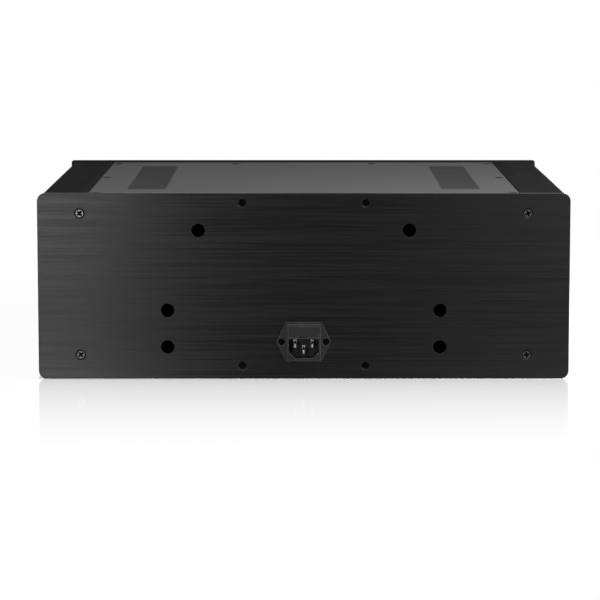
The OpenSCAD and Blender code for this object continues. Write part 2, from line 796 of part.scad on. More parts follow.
// Fuse drawer: a tray whose face is flush with the raised frame, with a cradle for each fuse
module fuse_drawer() {
    back = inlet_proud - drawer_l;
    half = drawer_w / 2;
    bottom = bay_bottom + drawer_gap;
    color(moulded) at_inlet() difference() {
        block([-half, back, bottom], [half, inlet_proud, bottom + drawer_h]);
        // Tray, open at the top
        block([-half + drawer_wall, back + drawer_wall, bottom + drawer_h / 2],
              [half - drawer_wall, inlet_proud - drawer_face_t, bottom + drawer_h + cut]);
        for (y = fuse_rows) translate([-fuse_l / 2 - 0.2, y, bottom + drawer_h / 2]) {
            rotate([0, 90, 0]) cylinder(r = fuse_d / 2 + screw_gap, h = fuse_l + 0.4);
        }
        // Openings at the back, through which the contacts reach the fuse's caps
        both_sides() block([contact_x - 2.2, back - cut, bottom + 1],
                           [contact_x + 2.2, back + drawer_wall + 0.6, bottom + drawer_h + cut]);
        // Notch that a fingernail pulls, in the face's lower edge
        translate([0, inlet_proud, bottom]) rotate([0, 90, 0])
            cylinder(r = 0.9, h = drawer_w / 3, center = true, $fn = 24);
    }
}

// A fuse's glass tube between its caps, and the caps, at a row of the drawer
module fuse_tube(y) {
    color([0.8, 0.9, 0.9]) at_inlet()
        translate([-fuse_l / 2 + cap_l, y, bay_bottom + drawer_gap + drawer_h / 2])
            rotate([0, 90, 0]) cylinder(d = glass_d, h = fuse_l - 2 * cap_l);
}

module fuse_cap_pair(y) {
    color(bare) at_inlet() both_sides()
        translate([fuse_l / 2 - cap_l, y, bay_bottom + drawer_gap + drawer_h / 2])
            rotate([0, 90, 0]) cylinder(d = fuse_d, h = cap_l);
}

module fuse_glass() {
    fuse_tube(fuse_rows[0]);
}

module fuse_caps() {
    fuse_cap_pair(fuse_rows[0]);
}

module spare_fuse_glass() {
    fuse_tube(fuse_rows[1]);
}

module spare_fuse_caps() {
    fuse_cap_pair(fuse_rows[1]);
}

// Power button. Its modules are turned about the button's axis, with z = 0 on the front panel's outer
// face and +z into the chassis.
module at_button() {
    translate([0, front_y, button_z]) rotate([-90, 0, 0]) children();
}

module button_bezel() {
    color(bare) at_button() rotate_extrude() polygon([
        [button_r + button_gap, 0.4 - bezel_t], [button_r + button_gap + 0.4, -bezel_t],
        [bezel_r - 0.5, -bezel_t], [bezel_r, 0.5 - bezel_t], [bezel_r, 0], [barrel_r, 0],
        [barrel_r, barrel_l], [collar_r, barrel_l], [collar_r, collar_from],
        [button_r + button_gap, collar_from]]);
}

module power_button() {
    front = -bezel_t - button_proud;
    color(dark) at_button() rotate_extrude() polygon([
        [0, front + 0.5], [button_r * 0.7, front + 0.3], [button_r - 0.6, front],
        [button_r, front + 0.5], [button_r, collar_from + 0.1],
        [collar_r - button_gap, collar_from + 0.1], [collar_r - button_gap, button_back],
        [0, button_back]]);
}

// One ring of the spring's wire at the angle a, as points
function wire_ring(a, sides) =
    let (z = spring_from + spring_wire / 2 + (spring_l - spring_wire) * a / (360 * spring_turns))
    [for (s = [0 : sides - 1]) let (t = 360 * s / sides, r = spring_r + spring_wire / 2 * cos(t))
        [r * cos(a), r * sin(a), z + spring_wire / 2 * sin(t)]];

module button_spring() {
    sides = 6;
    steps = 12 * spring_turns;
    points = [for (i = [0 : steps]) each wire_ring(360 * spring_turns * i / steps, sides)];
    faces = concat(
        [[for (s = [0 : sides - 1]) s]],
        [for (i = [0 : steps - 1], s = [0 : sides - 1])
            [i * sides + s, (i + 1) * sides + s, (i + 1) * sides + (s + 1) % sides,
             i * sides + (s + 1) % sides]],
        [[for (s = [sides - 1 : -1 : 0]) steps * sides + s]]);
    color(bare) at_button() polyhedron(points, faces);
}

// Switch body: closes the barrel and carries the terminals
module switch_body() {
    color(moulded) at_button() translate([0, 0, plug_from]) {
        cylinder(r = collar_r - screw_gap, h = plug_to - plug_from - 1);
        translate([0, 0, plug_to - plug_from - 1]) cylinder(r1 = collar_r - screw_gap,
            r2 = collar_r - screw_gap - 1, h = 1);
    }
}

module switch_terminals() {
    color(bare) at_button() for (x = [-4, 4], z = [-2.5, 2.5]) translate([x - 0.4, z - 1.4, plug_to])
        cube([0.8, 2.8, 7]);
}

module button_nut() {
    color(bare) at_button() translate([0, 0, front_t]) difference() {
        cylinder(d = nut_af / cos(30), h = nut_t, $fn = 6);
        translate([0, 0, -cut]) cylinder(r = barrel_r + screw_gap, h = nut_t + 2 * cut);
    }
}

front_panel();
rear_panel();
top_cover();
bottom_cover();
left_heatsink();
right_heatsink();
left_top_bar();
right_top_bar();
left_bottom_bar();
right_bottom_bar();
bar_screws();
rear_top_blocks();
rear_bottom_blocks();
front_top_brackets();
front_bottom_brackets();
front_bracket_screws();
corner_brackets();
corner_bracket_screws();
rear_corner_screws();
rear_block_screws();
top_cover_screws();
bottom_cover_screws();
inlet_housing();
line_pin();
neutral_pin();
earth_pin();
fuse_contacts();
inlet_screws();
inlet_nuts();
fuse_drawer();
fuse_glass();
fuse_caps();
spare_fuse_glass();
spare_fuse_caps();
button_bezel();
power_button();
button_spring();
switch_body();
switch_terminals();
button_nut();
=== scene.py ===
import math

import bmesh
import bpy
from mathutils import Matrix, Vector


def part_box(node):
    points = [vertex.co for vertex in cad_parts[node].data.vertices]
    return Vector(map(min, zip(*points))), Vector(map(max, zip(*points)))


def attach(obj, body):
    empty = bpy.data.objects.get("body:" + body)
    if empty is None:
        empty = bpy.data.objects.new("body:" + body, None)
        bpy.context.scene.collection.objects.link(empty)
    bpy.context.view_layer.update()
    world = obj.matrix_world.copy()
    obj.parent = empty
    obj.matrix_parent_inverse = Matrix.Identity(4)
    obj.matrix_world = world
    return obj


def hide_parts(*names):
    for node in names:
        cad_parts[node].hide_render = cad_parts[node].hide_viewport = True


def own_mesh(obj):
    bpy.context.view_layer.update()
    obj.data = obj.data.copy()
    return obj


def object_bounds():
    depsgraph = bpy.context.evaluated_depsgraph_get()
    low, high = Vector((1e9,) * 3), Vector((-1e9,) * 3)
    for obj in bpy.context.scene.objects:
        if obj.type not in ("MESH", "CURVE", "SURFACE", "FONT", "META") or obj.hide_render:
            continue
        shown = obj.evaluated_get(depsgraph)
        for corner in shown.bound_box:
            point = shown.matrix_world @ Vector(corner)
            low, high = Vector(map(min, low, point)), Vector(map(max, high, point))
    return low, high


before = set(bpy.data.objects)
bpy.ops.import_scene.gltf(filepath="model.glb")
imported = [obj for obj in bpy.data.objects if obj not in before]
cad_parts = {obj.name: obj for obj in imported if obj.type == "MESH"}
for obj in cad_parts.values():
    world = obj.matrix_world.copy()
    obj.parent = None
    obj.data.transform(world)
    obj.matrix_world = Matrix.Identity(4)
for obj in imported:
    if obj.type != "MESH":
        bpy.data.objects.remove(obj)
cad_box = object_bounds()
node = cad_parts


# Rear panel
# A flat aluminium plate with rounded corners, brushed along its width and anodised black after the
# connector holes, the inlet's opening and the sunk screw holes were cut. Its edges catch the light.

def new_finish(name):
    """An empty node material with its shader, and the object's own coordinates in metres."""
    material = bpy.data.materials.new(name)
    material.use_nodes = True
    tree = material.node_tree
    shader = tree.nodes["Principled BSDF"]
    place = tree.nodes.new("ShaderNodeTexCoord").outputs["Object"]
    return material, tree, shader, place


def grain(tree, place, scale, detail=4.0, rough=0.6):
    """Noise stretched by scale, in cycles a metre along X, Y and Z."""
    stretch = tree.nodes.new("ShaderNodeMapping")
    stretch.inputs["Scale"].default_value = scale
    tree.links.new(place, stretch.inputs["Vector"])
    noise = tree.nodes.new("ShaderNodeTexNoise")
    noise.inputs["Scale"].default_value = 1.0
    noise.inputs["Detail"].default_value = detail
    noise.inputs["Roughness"].default_value = rough
    tree.links.new(stretch.outputs["Vector"], noise.inputs["Vector"])
    return noise.outputs["Fac"]


def spread(tree, value, low, high, start=0.3, end=0.7):
    """A value mapped so that start gives low and end gives high."""
    mapped = tree.nodes.new("ShaderNodeMapRange")
    mapped.inputs["From Min"].default_value = start
    mapped.inputs["From Max"].default_value = end
    mapped.inputs["To Min"].default_value = low
    mapped.inputs["To Max"].default_value = high
    tree.links.new(value, mapped.inputs["Value"])
    return mapped.outputs["Result"]


def sums(tree, operation, first, second):
    """One sum on two values, or on a value and a number."""
    step = tree.nodes.new("ShaderNodeMath")
    step.operation = operation
    for socket, value in zip(step.inputs, (first, second)):
        if isinstance(value, (int, float)):
            socket.default_value = value
        else:
            tree.links.new(value, socket)
    return step.outputs["Value"]


def shade_between(tree, value, dark, pale, start=0.3, end=0.7):
    """A colour between two, by a value."""
    ramp = tree.nodes.new("ShaderNodeValToRGB")
    ramp.color_ramp.elements[0].position = start
    ramp.color_ramp.elements[0].color = (*dark, 1.0)
    ramp.color_ramp.elements[1].position = end
    ramp.color_ramp.elements[1].color = (*pale, 1.0)
    tree.links.new(value, ramp.inputs["Fac"])
    return ramp.outputs["Color"]


def broken_edge(tree, radius):
    """The normal of a surface whose sharp edges are rounded to a radius."""
    edge = tree.nodes.new("ShaderNodeBevel")
    edge.samples = 6
    edge.inputs["Radius"].default_value = radius
    return edge.outputs["Normal"]


def wear_and_highlight_on_edges(tree, place, edge, colour, worn_and_lit_colour, start=0.45):
    """Paler edges: scuffed patches, and with a low start a painted highlight all along them."""
    flat = tree.nodes.new("ShaderNodeNewGeometry").outputs["Normal"]
    apart = tree.nodes.new("ShaderNodeVectorMath")
    apart.operation = "DOT_PRODUCT"
    tree.links.new(flat, apart.inputs[0])
    tree.links.new(edge, apart.inputs[1])
    near = spread(tree, apart.outputs["Value"], 1.0, 0.0, 0.80, 0.99)
    patch = spread(tree, grain(tree, place, (130, 130, 130), 5.0, 0.7), 0.0, 1.0, start, start + 0.2)
    mix = tree.nodes.new("ShaderNodeMixRGB")
    mix.inputs["Color2"].default_value = (*worn_and_lit_colour, 1.0)
    tree.links.new(sums(tree, "MULTIPLY", near, patch), mix.inputs["Fac"])
    tree.links.new(colour, mix.inputs["Color1"])
    return mix.outputs["Color"]


def relief(tree, shader, value, height, edge, strength=0.5):
    """Bump from a value, height metres deep, on a surface with broken edges."""
    bump = tree.nodes.new("ShaderNodeBump")
    bump.inputs["Distance"].default_value = height
    bump.inputs["Strength"].default_value = strength
    tree.links.new(value, bump.inputs["Height"])
    tree.links.new(edge, bump.inputs["Normal"])
    tree.links.new(bump.outputs["Normal"], shader.inputs["Normal"])


def anodised(name, dark, pale, worn_and_lit_colour, smooth, dull, gloss, brush, radius, depth):
    """Black anodised aluminium: fine lines along the brush direction in colour, gloss and relief."""
    material, tree, shader, place = new_finish(name)
    lines = grain(tree, place, brush, 5.0, 0.7)
    patches = grain(tree, place, (11, 11, 11), 2.0, 0.5)
    edge = broken_edge(tree, radius)
    tree.links.new(wear_and_highlight_on_edges(tree, place, edge, shade_between(tree, lines, dark, pale), worn_and_lit_colour),
                   shader.inputs["Base Color"])
    tree.links.new(sums(tree, "MULTIPLY", spread(tree, lines, smooth, dull, 0.42, 0.58),
                        spread(tree, patches, 0.96, 1.04)), shader.inputs["Roughness"])
    shader.inputs["Specular IOR Level"].default_value = gloss
    relief(tree, shader, lines, depth, edge)
    return material


def finish(material, *names):
    """Gives the model's own pieces their material."""
    for name in names:
        slots = node[name].data.materials
        slots.clear()
        slots.append(material)


def brushed_along_x(material, pull):
    """Spreads the gloss across the brush lines, so that a lamp's image is drawn out upwards."""
    tree = material.node_tree
    shader = tree.nodes["Principled BSDF"]
    shader.inputs["Anisotropic"].default_value = pull
    shader.inputs["Anisotropic Rotation"].default_value = 0.25
    around = tree.nodes.new("ShaderNodeTangent")
    around.direction_type = "RADIAL"
    around.axis = "Z"
    tree.links.new(around.outputs["Tangent"], shader.inputs["Tangent"])


def shade_and_dull_walls(material, axis, cut, rougher, top_edge=0.0, one_side=0):
    """Paints shade on and dulls slot, hole and sunk mouth walls and the sheet's own edges.
    With one_side, the sheet's back gets the painted shade and is dull too."""
    tree = material.node_tree
    shader = tree.nodes["Principled BSDF"]
    split = tree.nodes.new("ShaderNodeSeparateXYZ")
    tree.links.new(tree.nodes.new("ShaderNodeNewGeometry").outputs["Normal"], split.inputs["Vector"])
    across = (sums(tree, "MULTIPLY", split.outputs[axis], one_side) if one_side
              else sums(tree, "ABSOLUTE", split.outputs[axis], 0.0))
    facing = sums(tree, "MAXIMUM", across, sums(tree, "MULTIPLY", split.outputs["Z"], top_edge))
    wall = spread(tree, facing, 1.0, 0.0, 0.8, 0.95)
    # The cut colour is painted shade, laid on the walls by the wall mask.
    mix = tree.nodes.new("ShaderNodeMixRGB")
    mix.inputs["Color2"].default_value = (*cut, 1.0)
    colour = shader.inputs["Base Color"].links[0].from_socket
    gloss = shader.inputs["Roughness"].links[0].from_socket
    tree.links.new(wall, mix.inputs["Fac"])
    tree.links.new(colour, mix.inputs["Color1"])
    tree.links.new(mix.outputs["Color"], shader.inputs["Base Color"])
    tree.links.new(sums(tree, "ADD", gloss, sums(tree, "MULTIPLY", wall, rougher)),
                   shader.inputs["Roughness"])


panel_black = anodised("brushed_black_panel", (0.0002, 0.0002, 0.0002), (0.0012, 0.0012, 0.0012),
                       (0.03, 0.03, 0.0305), 0.275, 0.38, 0.067, (9, 800, 800), 0.0005, 0.00002)
brushed_along_x(panel_black, 0.8)
# Painted shade: hole walls, sunk mouths and the side and bottom edges are darkened; the top face keeps its
# colour.
shade_and_dull_walls(panel_black, "Y", (0.001, 0.001, 0.001), 0.35, 1.0)
finish(panel_black, "rear_panel")


# Heatsinks
# Two aluminium extrusions with tapered vertical fins, sawn to length and anodised black. They are the
# chassis's side walls, with their ends tapped for the panels' screws.

def sawn_ends(material, sawn, rougher):
    """Darkens and dulls the faces that the saw left, at the top and bottom of the fins."""
    tree = material.node_tree
    shader = tree.nodes["Principled BSDF"]
    split = tree.nodes.new("ShaderNodeSeparateXYZ")
    tree.links.new(tree.nodes.new("ShaderNodeNewGeometry").outputs["Normal"], split.inputs["Vector"])
    flat = spread(tree, sums(tree, "ABSOLUTE", split.outputs["Z"], 0.0), 0.0, 1.0, 0.6, 0.8)
    mix = tree.nodes.new("ShaderNodeMixRGB")
    mix.inputs["Color2"].default_value = (*sawn, 1.0)
    colour = shader.inputs["Base Color"].links[0].from_socket
    along = shader.inputs["Roughness"].links[0].from_socket
    tree.links.new(flat, mix.inputs["Fac"])
    tree.links.new(colour, mix.inputs["Color1"])
    tree.links.new(mix.outputs["Color"], shader.inputs["Base Color"])
    tree.links.new(sums(tree, "ADD", along, sums(tree, "MULTIPLY", flat, rougher)),
                   shader.inputs["Roughness"])


fin_black = anodised("extruded_black_fins", (0.004, 0.004, 0.0041), (0.007, 0.007, 0.0072),
                     (0.03, 0.03, 0.0307), 0.46, 0.56, 0.006, (420, 420, 7), 0.00025, 0.00003)
sawn_ends(fin_black, (0.005, 0.005, 0.0052), 0.45)
finish(fin_black, "left_heatsink", "right_heatsink")


# Front panel
# A thick aluminium plate, brushed and anodised like the rear one. The heatsinks are screwed to its back
# through angle brackets, so its face shows only the power button.

front_black = anodised("brushed_black_front", (0.003, 0.003, 0.0031), (0.006, 0.006, 0.0062),
                       (0.03, 0.03, 0.0305), 0.28, 0.41, 0.08, (18, 1000, 1000), 0.0004, 0.00002)
brushed_along_x(front_black, 0.8)
# Painted shade: the plate's edges, its holes and its back are darkened, and dulled.
shade_and_dull_walls(front_black, "Y", (0.001, 0.001, 0.001), 0.5, one_side=-1)
finish(front_black, "front_panel")


# Covers
# Two flat aluminium sheets with two groups of milled vent slots, finished in a fine satin black. They
# lie between the heatsinks a little below the panels' edges.




cover_black = anodised("satin_black_cover", (0.030, 0.030, 0.0307), (0.037, 0.037, 0.0378),
                       (0.044, 0.044, 0.0448), 0.64, 0.74, 0.006, (500, 500, 500), 0.00015, 0.00002)
# Painted shade: the walls of the vent slots and the sheets' edges are darkened almost to black.
shade_and_dull_walls(cover_black, "Z", (0.0008, 0.0008, 0.0008), 0.1)
finish(cover_black, "top_cover", "bottom_cover")


# Joining pieces
# Bars, blocks and angle brackets cut from plain aluminium stock, left bare inside the chassis.

def bare_metal(name, dark, pale, smooth, dull, brush, radius=0.0002):
    """Uncoated metal with the marks of the saw or the mill along one direction."""
    material, tree, shader, place = new_finish(name)
    marks = grain(tree, place, brush, 3.0, 0.6)
    tree.links.new(shade_between(tree, marks, dark, pale), shader.inputs["Base Color"])
    tree.links.new(spread(tree, marks, smooth, dull), shader.inputs["Roughness"])
    shader.inputs["Metallic"].default_value = 1.0
    relief(tree, shader, marks, 0.00003, broken_edge(tree, radius), 0.4)
    return material


stock = bare_metal("milled_aluminium", (0.58, 0.59, 0.6), (0.74, 0.75, 0.76), 0.3, 0.45, (700, 20, 700))
finish(stock, "left_top_bar", "right_top_bar", "left_bottom_bar", "right_bottom_bar",
       "rear_top_blocks", "rear_bottom_blocks", "front_top_brackets", "front_bottom_brackets",
       "corner_brackets")


# Inner screws
# Zinc plated steel screws with round heads, nuts and a spring, none of which shows from outside.

zinc = bare_metal("zinc_plated_steel", (0.42, 0.42, 0.43), (0.56, 0.56, 0.57), 0.25, 0.4, (500, 500, 500))
finish(zinc, "bar_screws", "front_bracket_screws", "corner_bracket_screws", "inlet_nuts", "button_nut")


# Rear corner screws
# Four countersunk steel screws, plated dark and shiny, that hold the rear panel to the heatsinks. Their
# heads lie just below the panel's face, and each was tightened to its own angle.

def countersunk(head, shank, length, arm, slot, depth):
    """A countersunk screw with a cross recess, its head's face at z = 0 and its point down."""
    cone = (head - shank) / 2
    groove, pitch = 0.28e-3, 0.5e-3
    outline = [(0.0, 0.0), (head / 2 - 0.35e-3, 0.0), (head / 2 - 0.2e-3, -0.1e-3),
               (head / 2 - 0.18e-3, -0.5e-3), (shank / 2, -cone - 0.1e-3)]
    z = -cone - 0.6e-3
    while z - pitch > -length + 0.5e-3:
        outline += [(shank / 2, z), (shank / 2 - groove, z - pitch / 2)]
        z -= pitch
    outline += [(shank / 2, z), (shank / 2 - 0.5e-3, -length), (0.0, -length)]
    mesh = bmesh.new()
    ring = [mesh.verts.new((r, 0.0, z)) for r, z in outline]
    line = [mesh.edges.new(pair) for pair in zip(ring, ring[1:])]
    bmesh.ops.spin(mesh, geom=ring + line, cent=(0, 0, 0), axis=(0, 0, 1), angle=math.tau, steps=40,
                   use_merge=True)
    bmesh.ops.remove_doubles(mesh, verts=mesh.verts, dist=1e-7)
    bmesh.ops.recalc_face_normals(mesh, faces=mesh.faces)
    screw = bpy.data.objects.new("turned_blank", bpy.data.meshes.new("turned_blank"))
    mesh.to_mesh(screw.data)
    mesh.free()

    mesh = bmesh.new()
    cross = []
    for turn in range(4):
        for x, y in ((slot / 2, slot / 2), (arm / 2, slot / 2), (arm / 2, -slot / 2)):
            c, s = (1, 0, -1, 0)[turn], (0, 1, 0, -1)[turn]
            cross.append((c * x + s * y, s * x - c * y))
    levels = [(1.0, 0.1e-3), (1.0, 0.0), (0.8, -depth)]
    rings = [[mesh.verts.new((k * x, k * y, z)) for x, y in cross] for k, z in levels]
    for upper, lower in zip(rings, rings[1:]):
        for i in range(len(cross)):
            j = (i + 1) % len(cross)
            mesh.faces.new((upper[i], upper[j], lower[j], lower[i]))
    mesh.faces.new(rings[0])
    mesh.faces.new(rings[-1])
    bmesh.ops.recalc_face_normals(mesh, faces=mesh.faces)
    punch = bpy.data.objects.new("cross_punch", bpy.data.meshes.new("cross_punch"))
    mesh.to_mesh(punch.data)
    mesh.free()

    for part in (screw, punch):
        bpy.context.scene.collection.objects.link(part)
    cut = screw.modifiers.new("cross", "BOOLEAN")
    cut.operation = "DIFFERENCE"
    cut.solver = "EXACT"
    cut.object = punch
    made = bpy.data.meshes.new_from_object(screw.evaluated_get(bpy.context.evaluated_depsgraph_get()))
    for part in (screw, punch):
        bpy.data.objects.remove(part)
    made.materials.clear()
    # The cross recess and the head's sunk rim and underside take the second material, a painted shade.
    for face in made.polygons:
        inside = all(-depth - 0.02e-3 < made.vertices[v].co.z and
                     made.vertices[v].co.xy.length < arm / 2 + slot for v in face.vertices)
        below = face.center.z < -0.2e-3 and face.center.xy.length > head / 2 - 1.2e-3
        face.material_index = int(inside and face.center.z < -0.02e-3 or below)
    return made


def drive_in(name, blank, faces, heading, plating, recess_shade, replaced):
    """Copies of a screw at their heads' faces, each at its own turn, as one piece."""
    mesh = bmesh.new()
    for (x, y, z), turn in faces:
        start = len(mesh.verts)
        mesh.from_mesh(blank)
        mesh.verts.ensure_lookup_table()
        aim = Vector(heading).to_track_quat("Z", "Y").to_matrix().to_4x4()
        bmesh.ops.transform(mesh, matrix=Matrix.Translation((x, y, z)) @ aim
                            @ Matrix.Rotation(math.radians(turn), 4, "Z"), verts=mesh.verts[start:])
    data = bpy.data.meshes.new(name)
    mesh.to_mesh(data)
    mesh.free()
    data.materials.append(plating)
    data.materials.append(recess_shade)
    screws = bpy.data.objects.new(name, data)
    bpy.context.scene.collection.objects.link(screws)
    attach(screws, "chassis")
    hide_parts(replaced)
    return screws


dark_plating = bare_metal("dark_bright_plating", (0.022, 0.022, 0.0225), (0.036, 0.036, 0.0365),
                          0.22, 0.30, (900, 900, 900), 0.0001)
# Painted shade: near-black metal for the screws' cross recesses and the dark ring round their sunk heads.
recess_dark = bare_metal("recess_shadow", (0.001, 0.001, 0.001), (0.002, 0.002, 0.002),
                         0.6, 0.8, (900, 900, 900), 0.00003)

corner_head = 6.9e-3
low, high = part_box("rear_corner_screws")
left, right = high.x - corner_head / 2, low.x + corner_head / 2
top, bottom = high.z - corner_head / 2, low.z + corner_head / 2
drive_in("dressed_corner_screws", countersunk(corner_head, 4.0e-3, 12.0e-3, 5.0e-3, 1.6e-3, 1.5e-3),
         [((left, high.y, top), 45), ((left, high.y, bottom), 40),
          ((right, high.y, top), 20), ((right, high.y, bottom), 12)],
         (0, 1, 0), dark_plating, recess_dark, "rear_corner_screws")


# Rear block screws
# Four small blackened screws near the middle of the rear panel's top and bottom edges, sunk in it. They
# enter the blocks that the covers are screwed to.

def blackened(name, dark, pale, smooth, dull, gloss):
    """Oil-blacked steel: a thin matt skin with a speckle and paler rims, scuffed by handling."""
    material, tree, shader, place = new_finish(name)
    speckle = grain(tree, place, (1500, 1500, 1500), 4.0, 0.6)
    edge = broken_edge(tree, 0.00012)
    tree.links.new(wear_and_highlight_on_edges(tree, place, edge, shade_between(tree, speckle, dark, pale),
                          (0.02, 0.02, 0.02)), shader.inputs["Base Color"])
    tree.links.new(spread(tree, speckle, smooth, dull), shader.inputs["Roughness"])
    shader.inputs["Specular IOR Level"].default_value = gloss
    relief(tree, shader, speckle, 0.00002, edge, 0.4)
    return material


screw_black = blackened("blackened_steel", (0.0003, 0.0003, 0.0003), (0.0008, 0.0008, 0.0008),
                        0.7, 0.85, 0.004)

block_head = 5.8e-3
low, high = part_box("rear_block_screws")
places = [(x, high.y, z) for z in (high.z - block_head / 2, low.z + block_head / 2)
          for x in (high.x - block_head / 2, low.x + block_head / 2)]
small_blank = countersunk(block_head, 3.0e-3, 10.0e-3, 3.4e-3, 0.8e-3, 1.1e-3)
drive_in("dressed_block_screws", small_blank, list(zip(places, (8, 31, 52, 77))),
         (0, 1, 0), screw_black, recess_dark, "rear_block_screws")


# Cover screws
# Blackened countersunk screws that hold the covers: three along each bar, two into the front brackets
# and two into the rear blocks. They sit slightly below the sheet, and painted shade rings their heads,
# so they look like dark pits.

cover_head, cover_sink = 5.2e-3, 1.3e-3
rows = ((0.1698, -0.1474), (0.1698, 0.0036), (0.1698, 0.1546), (0.0625, -0.1474), (0.0500, 0.1666))
cover_blank = countersunk(cover_head, 4.0e-3, 4.0e-3, 3.4e-3, 0.9e-3, 1.0e-3)
for name, replaced, up, turns in (
        ("dressed_top_screws", "top_cover_screws", 1, (12, 64, 33, 80, 5, 48, 71, 22, 57, 38)),
        ("dressed_bottom_screws", "bottom_cover_screws", -1, (55, 18, 76, 41, 9, 62, 27, 84, 36, 3))):
    low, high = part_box(replaced)
    face = (high.z if up > 0 else low.z) - up * cover_sink
    places = [(side * x, y, face) for x, y in rows for side in (1, -1)]
    drive_in(name, cover_blank, list(zip(places, turns)), (0, 0, up), screw_black, recess_dark,
             replaced)


# Mains inlet
# A moulded plastic housing with a six-sided flange and a raised frame round the socket. Two black
# screws with nuts behind the panel hold it.

def moulding(name, dark, pale, smooth, dull, gloss):
    """Injection moulded plastic with a fine satin skin, softly rounded edges and a painted highlight along
    them.
    """
    material, tree, shader, place = new_finish(name)
    skin = grain(tree, place, (1800, 1800, 1800), 3.0, 0.5)
    flow = grain(tree, place, (60, 60, 60), 2.0, 0.5)
    edge = broken_edge(tree, 0.00028)
    # Painted highlight: with a start this low the pale edge colour runs nearly all along the edges, as lit
    # lines round the frame.
    tree.links.new(wear_and_highlight_on_edges(tree, place, edge, shade_between(tree, flow, dark, pale),
                          (0.06, 0.06, 0.061), 0.05), shader.inputs["Base Color"])
    tree.links.new(spread(tree, skin, smooth, dull), shader.inputs["Roughness"])
    shader.inputs["Specular IOR Level"].default_value = gloss
    relief(tree, shader, skin, 0.00003, edge, 0.35)
    return material


inlet_black = moulding("satin_black_moulding", (0.003, 0.003, 0.0031), (0.0042, 0.0042, 0.0043),
                       0.42, 0.52, 0.044)
finish(inlet_black, "inlet_housing", "fuse_drawer", "switch_body")

low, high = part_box("inlet_screws")
middle = (low.z + high.z) / 2
inlet_blank = countersunk(block_head, 3.0e-3, 9.4e-3, 3.4e-3, 0.8e-3, 1.1e-3)
drive_in("dressed_inlet_screws", inlet_blank,
         [((high.x - block_head / 2, high.y, middle), 30), ((low.x + block_head / 2, high.y, middle), 66)],
         (0, 1, 0), screw_black, recess_dark, "inlet_screws")


# Pins and fuses
# Three nickel plated blades in the socket. Behind the drawer's face lie a working fuse and a spare,
# glass tubes with plated caps, and two pressed brass contacts.

plated = bare_metal("nickel_plate", (0.18, 0.178, 0.173), (0.23, 0.227, 0.22), 0.2, 0.3, (300, 300, 300))
# Painted shade: only the faces along Y keep the plated colour, as if lit; the blades' tops and sides and
# all other faces are darkened almost to black.
shade_and_dull_walls(plated, "Y", (0.004, 0.004, 0.0039), 0.35)
finish(plated, "line_pin", "neutral_pin", "earth_pin", "fuse_caps", "spare_fuse_caps",
       "switch_terminals")

spring_brass = bare_metal("pressed_brass", (0.62, 0.46, 0.2), (0.74, 0.57, 0.27), 0.25, 0.36,
                          (400, 400, 400))
finish(spring_brass, "fuse_contacts")


def clear_glass(name):
    """Thin clear glass with faint draw marks."""
    material, tree, shader, place = new_finish(name)
    draw = grain(tree, place, (20, 900, 900), 2.0, 0.5)
    tree.links.new(spread(tree, draw, 0.03, 0.08), shader.inputs["Roughness"])
    shader.inputs["Base Color"].default_value = (0.92, 0.97, 0.97, 1.0)
    shader.inputs["Transmission Weight"].default_value = 1.0
    shader.inputs["IOR"].default_value = 1.47
    return material


tube_glass = clear_glass("fuse_tube_glass")
finish(tube_glass, "fuse_glass", "spare_fuse_glass")


# Power button
# A turned aluminium push button in a turned bezel, both anodised black, held by a nut behind the panel.

button_black = anodised("turned_black_button", (0.01, 0.01, 0.0103), (0.018, 0.018, 0.0185),
                        (0.05, 0.05, 0.051), 0.25, 0.36, 0.4, (500, 60, 500), 0.0003, 0.00003)
finish(button_black, "button_bezel", "power_button")


def wound(wire, middle, front, back, radius, turns, sides=8, steps=24):
    """A spring of round wire about an axis along Y, with its end turns laid flat."""
    mesh = bmesh.new()
    rings = []
    count = int(turns * steps)
    for i in range(count + 1):
        share = min(max((i / steps - 0.7) / (turns - 1.4), 0.0), 1.0)
        y = front + wire / 2 + (back - front - wire) * share
        around = math.tau * i / steps
        rings.append([])
        for s in range(sides):
            tilt = math.tau * s / sides
            r = radius + wire / 2 * math.cos(tilt)
            rings[-1].append(mesh.verts.new((middle.x + r * math.cos(around), y + wire / 2 * math.sin(tilt),
                                             middle.z + r * math.sin(around))))
    for near, far in zip(rings, rings[1:]):
        for s in range(sides):
            mesh.faces.new((near[s], far[s], far[(s + 1) % sides], near[(s + 1) % sides]))
    mesh.faces.new(rings[0])
    mesh.faces.new(rings[-1])
    bmesh.ops.recalc_face_normals(mesh, faces=mesh.faces)
    data = bpy.data.meshes.new("wound_spring")
    mesh.to_mesh(data)
    mesh.free()
    for face in data.polygons:
        face.use_smooth = True
    return data


low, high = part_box("button_spring")
spring_wire, spring_travel = 0.8e-3, 2.2e-3
spring = bpy.data.objects.new("wound_spring", wound(spring_wire, (low + high) / 2, low.y, high.y,
                                                    (high.x - low.x - spring_wire) / 2, 4.5))
spring.data.materials.append(zinc)
bpy.context.scene.collection.objects.link(spring)
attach(spring, "chassis")
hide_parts("button_spring")
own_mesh(spring)


# Floor and backdrop
# The chassis stands on a glossy white table top in a white studio. Its mirror image in the table is
# strong at the panel's foot and fades out a little more than a quarter of a metre away.

def any_ray(tree, *names):
    """One where a ray is any of the named kinds."""
    path = tree.nodes.new("ShaderNodeLightPath")
    value = path.outputs[names[0]]
    for name in names[1:]:
        value = sums(tree, "MAXIMUM", value, path.outputs[name])
    return value


def mixed(tree, share, first, second):
    """Two shaders in one, by a share of the second."""
    mix = tree.nodes.new("ShaderNodeMixShader")
    tree.links.new(share, mix.inputs["Fac"])
    tree.links.new(first, mix.inputs[1])
    tree.links.new(second, mix.inputs[2])
    return mix.outputs["Shader"]


half = 6.0
mesh = bpy.data.meshes.new("floor")
mesh.from_pydata([(-half, -half, 0), (half, -half, 0), (half, half, 0), (-half, half, 0)], [],
                 [(0, 1, 2, 3)])
floor = bpy.data.objects.new("floor", mesh)
bpy.context.scene.collection.objects.link(floor)

